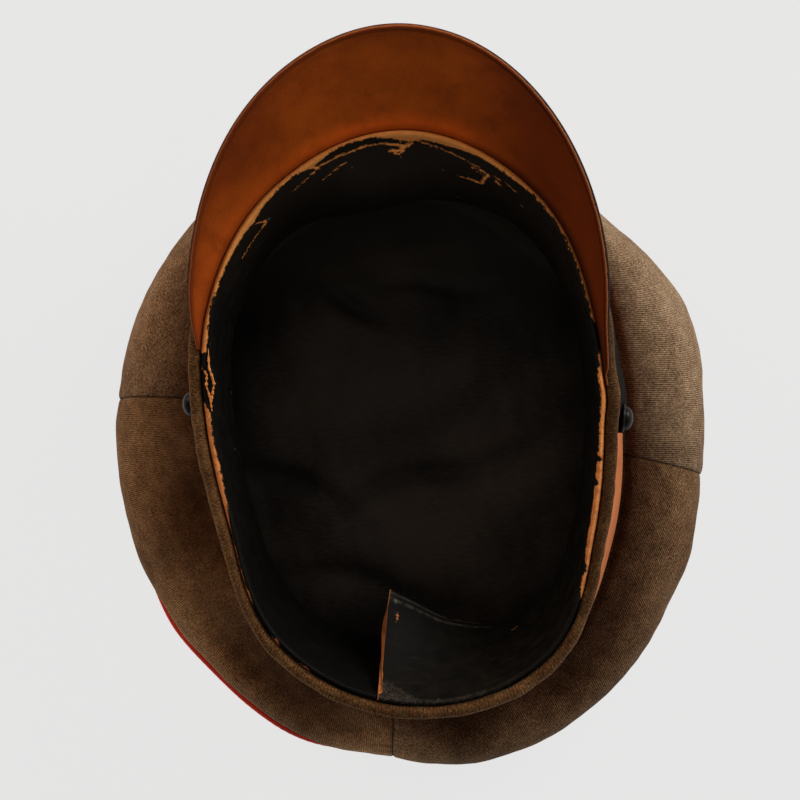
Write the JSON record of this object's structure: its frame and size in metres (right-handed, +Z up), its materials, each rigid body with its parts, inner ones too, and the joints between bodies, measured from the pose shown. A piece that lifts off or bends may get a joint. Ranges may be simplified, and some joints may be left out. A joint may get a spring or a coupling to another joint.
{
  "type": "visor cap",
  "caption": "Brown wool visor cap lying upside down on its flat crown, with piping, a leather peak, sweatband, lining and a chin strap with side buttons.",
  "frame": {"origin": "on the crown's flat top where it rests on the floor, straight below the middle of the head opening", "axes": "+Z up towards the opening, -Y towards the peak, -X towards the wearer's left"},
  "size_m": [0.2267, 0.2726, 0.1172],
  "materials": {
    "crown_wool": "matt brown wool twill with lighter and darker fibres",
    "piping_wool": "matt red wool piping",
    "band_cloth": "smooth tan facing cloth",
    "welt_wool": "worn brown wool roll",
    "sweatband_leather": "black polished leather, worn through to raw tan along the rim",
    "lining_sateen": "near black sateen with slack folds",
    "peak_leather": "orange brown dyed leather, satin",
    "peak_lacquer": "black lacquered leather, glossy",
    "strap_leather": "black patent leather, a little cracked",
    "button_lacquer": "glossy black lacquer"
  },
  "bodies": {
    "root": {"crown_top": "crown_wool", "crown_piping": "piping_wool", "crown_panel_front_left": "crown_wool", "crown_panel_front_right": "crown_wool", "crown_panel_back_left": "crown_wool", "crown_panel_back_right": "crown_wool", "band": "band_cloth", "rim_welt": "welt_wool", "sweatband": "sweatband_leather", "lining_side": "lining_sateen", "lining_tip": "lining_sateen", "peak_underside": "peak_leather", "peak_upper": "peak_lacquer", "peak_edge_binding": "peak_lacquer", "chin_strap": "strap_leather", "button_left": "button_lacquer", "button_right": "button_lacquer"}
  },
  "joints": []
}
